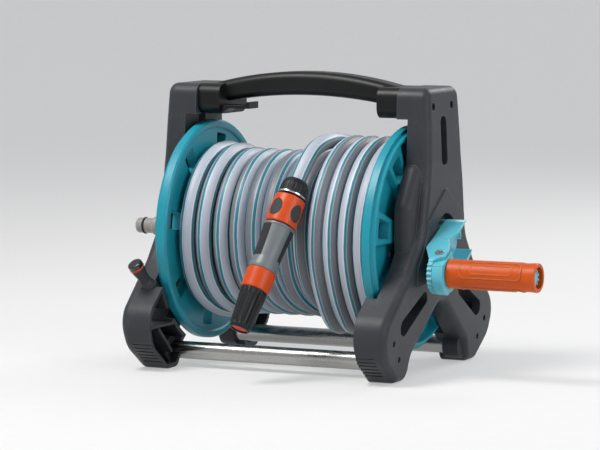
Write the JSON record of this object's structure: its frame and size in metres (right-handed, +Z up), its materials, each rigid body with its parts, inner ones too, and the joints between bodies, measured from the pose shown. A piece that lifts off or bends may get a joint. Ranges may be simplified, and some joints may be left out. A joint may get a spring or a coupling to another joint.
{
  "type": "garden hose reel cart",
  "caption": "Portable hose reel: two moulded side frames on steel tubes, carry handle, spoked drum with folding crank, wound hose, quick connector and spray nozzle.",
  "frame": {"origin": "under the middle of the cart, on the ground it stands on", "axes": "+X along the drum's axle towards the crank, +Y to the rear, +Z up; the hose and its nozzle come off at the front (-Y)"},
  "size_m": [0.488, 0.3299, 0.3095],
  "materials": {
    "frame": "fine moulded grain, satin",
    "tube": "brushed and plated, bright",
    "handle": "soft black moulding",
    "screw": "zinc plated",
    "reel": "satin moulded teal",
    "inner_plastic": "plain moulding",
    "nipple": "plain light grey moulding",
    "seal": "smooth rubber",
    "crank": "satin moulded light teal",
    "pin": "turned steel",
    "grip": "satin orange moulding",
    "hose": "ribbed grey hose with pale bands and thin teal stripes",
    "nozzle_dark": "dark moulding",
    "nozzle_metal": "polished ring",
    "nozzle_orange": "satin orange moulding",
    "nozzle_pad": "soft grey pad",
    "nozzle_grey": "mid grey moulding",
    "nozzle_grip": "soft dark insert",
    "nozzle_outlet": "red moulding",
    "cap": "glossy black"
  },
  "bodies": {
    "cart": {"side_frame_crank": "frame", "side_frame_inlet": "frame", "base_tube_front": "tube", "base_tube_rear": "tube", "carry_handle": "handle", "hose_hook": "handle", "handle_screws": "screw", "inlet_nipple": "nipple", "inlet_o_ring": "seal", "swivel_o_rings": "seal", "parking_post": "frame", "parking_ring": "nozzle_orange", "parking_cap": "cap", "hose_tail": "hose", "connector_nut": "nozzle_dark", "connector_ring": "nozzle_metal", "connector_body": "nozzle_dark", "nozzle_body": "nozzle_grey", "nozzle_grips": "nozzle_grip", "nozzle_stem": "nozzle_dark"},
    "drum": {"flange_crank": "reel", "flange_inlet": "reel", "drum_core": "reel", "drum_screws": "screw", "water_elbow": "inner_plastic", "hose_clamp_nut": "inner_plastic", "hose_winding": "hose", "crank_arm": "crank", "crank_screw": "screw", "crank_fold_pin": "pin"},
    "crank_handle": {"crank_knuckle": "crank"},
    "grip": {"crank_grip": "grip"},
    "collar": {"connector_collar": "nozzle_orange", "collar_pads": "nozzle_pad"},
    "tip": {"nozzle_tip": "nozzle_dark", "nozzle_tip_ring": "nozzle_orange", "nozzle_face": "nozzle_outlet"}
  },
  "joints": [
    {"name": "drum_spin", "type": "hinge", "parent": "cart", "child": "drum", "pos_m": [-0.038, 0, 0.1387], "axis": [1, 0, 0], "continuous": true},
    {"name": "crank_fold", "type": "hinge", "parent": "drum", "child": "crank_handle", "pos_m": [0.138, -0.05582, 0.11172], "axis": [0, -0.4352, 0.9003], "range_deg": [0, 90]},
    {"name": "grip_spin", "type": "hinge", "parent": "crank_handle", "child": "grip", "pos_m": [0.152, -0.05996, 0.10971], "axis": [1, 0, 0], "continuous": true},
    {"name": "collar_slide", "type": "slide", "parent": "cart", "child": "collar", "axis": [0.146, 0.501, 0.853], "range_m": [0, 0.0024], "stiffness_N_per_m": 500, "springref_m": -0.003},
    {"name": "tip_turn", "type": "hinge", "parent": "cart", "child": "tip", "pos_m": [-0.02894, -0.15814, 0.08678], "axis": [-0.146, -0.501, -0.853], "range_deg": [0, 270]}
  ]
}
